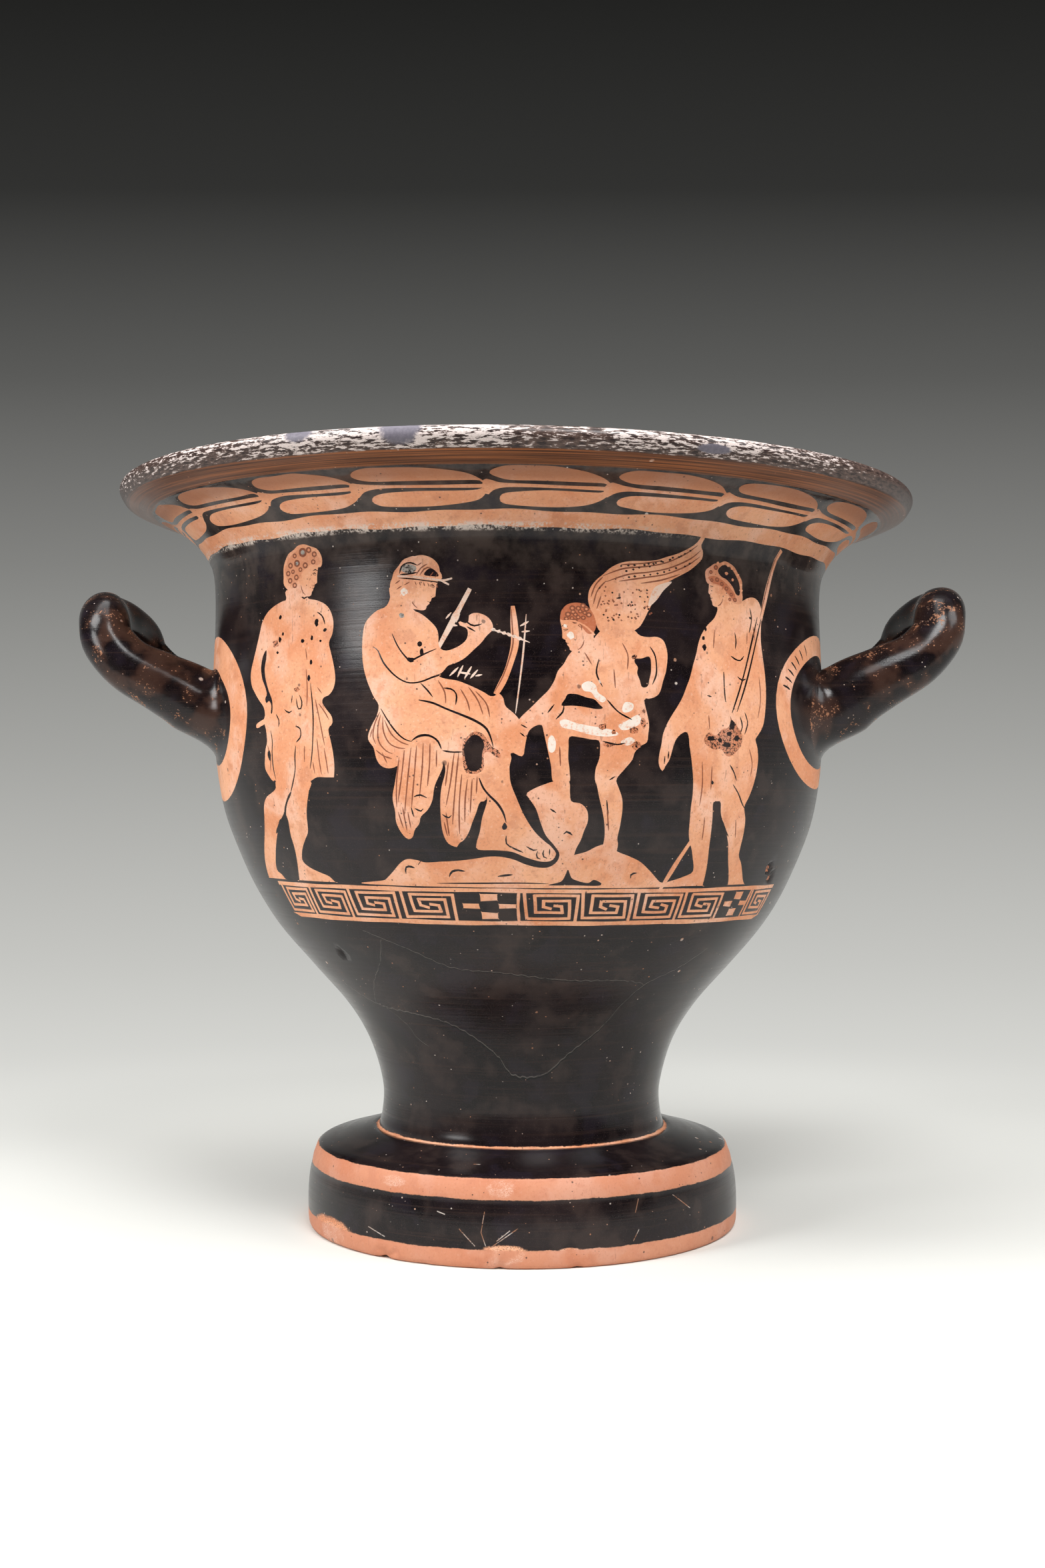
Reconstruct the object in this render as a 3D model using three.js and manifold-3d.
// A bell krater: a wheel-thrown clay mixing bowl on a moulded foot, with two upturned side handles.
// Millimetres, +Z up, origin at the centre of the foot's underside. The vessel was thrown, the
// handles were pulled and luted on, and all of it was fired together, so it is one solid.

import * as THREE from 'three';
import { mergeVertices } from 'three/addons/utils/BufferGeometryUtils.js';
import Module from 'manifold-3d';

const wasm = await Module();
wasm.setup();

// Driving dimensions.
const HEIGHT = 355;
const WALL = 7; // the thrown wall, square to the surface
const FLOOR_TOP = 92.5; // lowest point of the bowl's inside
const FOOT_CEILING = 80; // highest point of the hollow under the stem
const RING_INNER = 84; // radius at which the foot ring leaves the ground
const ROUND_SIDES = 56;

// How the pot left the wheel: its axis leans a little and its mouth is not quite level.
const LEAN = -0.0086; // sideways shift for each millimetre of height
const MOUTH_TILT = 0.014; // drop of the mouth plane for each millimetre towards +X

// Outside of the vessel as [radius, height] stations, from the ground up. Each list is one smooth run
// and the runs meet in the edges that a turner's rib leaves.
const FOOT_SIDE = [[103.4, 0], [104.9, 1.8], [105.3, 8], [105, 20], [103.4, 30], [100.7, 38.6]];
const FOOT_TOP = [[100.7, 38.6], [98.4, 40.2], [94, 41.4], [86, 43.7], [76, 46.3], [70.6, 47.2]];
const BODY = [
  [70.6, 47.2], [68.6, 54.5], [68.5, 68], [74.2, 88.5], [85.9, 108.4], [103.4, 128.4], [122.5, 152.1],
  [137.7, 182.4], [146.1, 211.5], [149, 252], [147.7, 298], [148.7, 315],
];
const FLARE = [[148.7, 315], [153.2, 324], [161.2, 332.3], [172.5, 339.2], [183.5, 343.2], [189.9, 345.8]];
const LIP = [[189.9, 345.8], [192.4, 350.4], [191, 353.9], [186.5, HEIGHT]];

// Inside of the mouth, where the wall is no longer parallel to the outside.
const MOUTH_INSIDE = [[186.5, HEIGHT], [180.5, 353.6], [169, 347.6], [157, 339], [146, 328], [141, 316]];
const FLOOR_RIM = 104; // height at which the rounded floor turns into the wall

// Hollow under the foot, from its ceiling down to the inner edge of the ring.
const FOOT_HOLLOW = [[0, FOOT_CEILING], [26, 77], [42, 66], [50, 52], [60, 34], [74, 13], [RING_INNER, 0]];

// A handle's centreline, from inside the wall to the middle of its crossbar:
// [out from the axis, away from the handle's mid-plane, height, tube radius].
const HANDLE = [
  [138, 35.5, 238, 21], [147, 37.8, 247, 18.3], [157.4, 40.4, 255, 16.4], [170.5, 42.5, 262, 14.5],
  [185.5, 43.8, 270, 12.9], [195.5, 42.3, 280.8, 12.2], [198.3, 37.3, 289.8, 12], [202.5, 20, 295.4, 11.8],
  [206, 0, 296.9, 11.6],
];
const HANDLES = [
  { side: -1, lift: 0 },
  { side: 1, lift: 2.6 }, // the second handle was set a little higher
];
const TUBE_SIDES = 14;
const TUBE_RINGS = 26;

const clay = new THREE.MeshStandardMaterial({ color: 0x2a2426, roughness: 0.3, metalness: 0 });

/** Points along the smooth curve through [radius, height] stations, a few for each stretch. */
function run(stations, perStretch) {
  const curve = new THREE.SplineCurve(stations.map(([r, z]) => new THREE.Vector2(r, z)));
  return curve.getPoints(perStretch * (stations.length - 1));
}

/** Joins runs end to end, keeping once the point that two neighbours share. */
function chain(...runs) {
  return runs.flatMap((points, i) => (i === 0 ? points : points.slice(1)));
}

/** A run moved sideways by a distance, to its left as it goes: the other face of a wall. */
function parallel(points, distance) {
  return points.map((p, i) => {
    const before = points[Math.max(i - 1, 0)];
    const after = points[Math.min(i + 1, points.length - 1)];
    const along = new THREE.Vector2().subVectors(after, before).normalize();
    return new THREE.Vector2(p.x - along.y * distance, p.y + along.x * distance);
  });
}

/** The wall of the body, moved inwards from its outside by a distance. */
function inwards(distance) {
  return parallel(run(BODY, 1), distance);
}

/** The vessel's whole section, from the hollow under the foot, up the outside, over the lip and down inside. */
function section() {
  const hollow = run(FOOT_HOLLOW, 1);
  const outside = chain(run(FOOT_SIDE, 1), run(FOOT_TOP, 1), run(BODY, 2), run(FLARE, 1), run(LIP, 2));
  const mouth = run(MOUTH_INSIDE, 1).slice(1);
  const top = MOUTH_INSIDE.at(-1)[1] - WALL;
  const wallInside = inwards(WALL).filter((p) => p.y > FLOOR_RIM && p.y < top).reverse();
  const { x: rim, y: height } = wallInside.at(-1);
  const floor = run([[rim, height], [0.8 * rim, FLOOR_TOP + 5], [0.45 * rim, FLOOR_TOP + 1], [0, FLOOR_TOP]], 1);
  return [...hollow, ...outside, ...mouth, ...wallInside, ...floor.slice(1)];
}

/** Leans the axis and tilts the mouth, more with height, and leaves the foot's underside flat. */
function settle(geometry) {
  const place = geometry.attributes.position;
  for (let i = 0; i < place.count; i += 1) {
    const x = place.getX(i);
    const z = place.getZ(i);
    const rise = Math.sin((Math.PI / 2) * Math.min(1, z / HEIGHT));
    place.setX(i, x + LEAN * z);
    place.setZ(i, z - MOUTH_TILT * rise * x);
  }
  return geometry;
}

/** A closed manifold-3d solid of a geometry, with its shared vertices merged and slivers dropped. */
function solidOf(geometry) {
  geometry.deleteAttribute('uv');
  geometry.deleteAttribute('normal');
  const merged = mergeVertices(geometry, 1e-3);
  const corners = merged.index.array;
  const kept = [];
  for (let i = 0; i < corners.length; i += 3) {
    const [a, b, c] = corners.slice(i, i + 3);
    if (a !== b && b !== c && c !== a) kept.push(a, b, c);
  }
  const mesh = new wasm.Mesh({
    numProp: 3,
    vertProperties: new Float32Array(merged.attributes.position.array),
    triVerts: new Uint32Array(kept),
  });
  return new wasm.Manifold(mesh);
}

/** A section turned about the vertical axis, then leant and tilted as the whole vessel is. */
function turned(points) {
  const lathe = new THREE.LatheGeometry(points, ROUND_SIDES);
  lathe.rotateX(Math.PI / 2);
  return solidOf(settle(lathe));
}

/** What the body holds inside the middle of its wall: a handle is cut off there, within the clay. */
function wallCore() {
  const middle = inwards(WALL / 2).slice(4);
  return turned([new THREE.Vector2(0, middle[0].y), ...middle, new THREE.Vector2(0, middle.at(-1).y)]);
}

/** A tube of changing radius along the handle's centreline, closed at both ends. */
function handle({ side, lift }) {
  const half = HANDLE.map(([out, along, z, r]) => new THREE.Vector4(side * out, -along, z + lift, r));
  const back = half.slice(0, -1).reverse().map((p) => new THREE.Vector4(p.x, -p.y, p.z, p.w));
  const stations = [...half, ...back];
  const centre = new THREE.CatmullRomCurve3(stations.map((p) => new THREE.Vector3(p.x, p.y, p.z)));
  const frames = centre.computeFrenetFrames(TUBE_RINGS, false);
  const rings = [];
  for (let i = 0; i <= TUBE_RINGS; i += 1) {
    const share = centre.getUtoTmapping(i / TUBE_RINGS) * (stations.length - 1);
    const low = Math.min(Math.floor(share), stations.length - 2);
    const radius = THREE.MathUtils.lerp(stations[low].w, stations[low + 1].w, share - low);
    const middle = centre.getPointAt(i / TUBE_RINGS);
    for (let j = 0; j < TUBE_SIDES; j += 1) {
      const turn = (2 * Math.PI * j) / TUBE_SIDES;
      rings.push(middle.clone()
        .addScaledVector(frames.normals[i], radius * Math.cos(turn))
        .addScaledVector(frames.binormals[i], radius * Math.sin(turn)));
    }
  }
  const corner = (i, j) => i * TUBE_SIDES + (j % TUBE_SIDES);
  const faces = [];
  for (let i = 0; i < TUBE_RINGS; i += 1) {
    for (let j = 0; j < TUBE_SIDES; j += 1) {
      faces.push(corner(i, j), corner(i, j + 1), corner(i + 1, j + 1));
      faces.push(corner(i, j), corner(i + 1, j + 1), corner(i + 1, j));
    }
  }
  for (let j = 1; j < TUBE_SIDES - 1; j += 1) {
    faces.push(corner(0, 0), corner(0, j + 1), corner(0, j));
    faces.push(corner(TUBE_RINGS, 0), corner(TUBE_RINGS, j), corner(TUBE_RINGS, j + 1));
  }
  const geometry = new THREE.BufferGeometry().setFromPoints(rings);
  geometry.setIndex(faces);
  return solidOf(geometry);
}

/** A three.js mesh of a manifold-3d solid. */
function meshOf(name, solid, material) {
  const { vertProperties, triVerts } = solid.getMesh();
  const geometry = new THREE.BufferGeometry();
  geometry.setAttribute('position', new THREE.BufferAttribute(new Float32Array(vertProperties), 3));
  geometry.setIndex(new THREE.BufferAttribute(new Uint32Array(triVerts), 1));
  geometry.computeVertexNormals();
  const mesh = new THREE.Mesh(geometry, material);
  mesh.name = name;
  return mesh;
}

const core = wallCore();
const krater = HANDLES.reduce((joined, one) => joined.add(handle(one).subtract(core)), turned(section()));

const model = new THREE.Group();
model.add(meshOf('krater', krater, clay));

export default model;
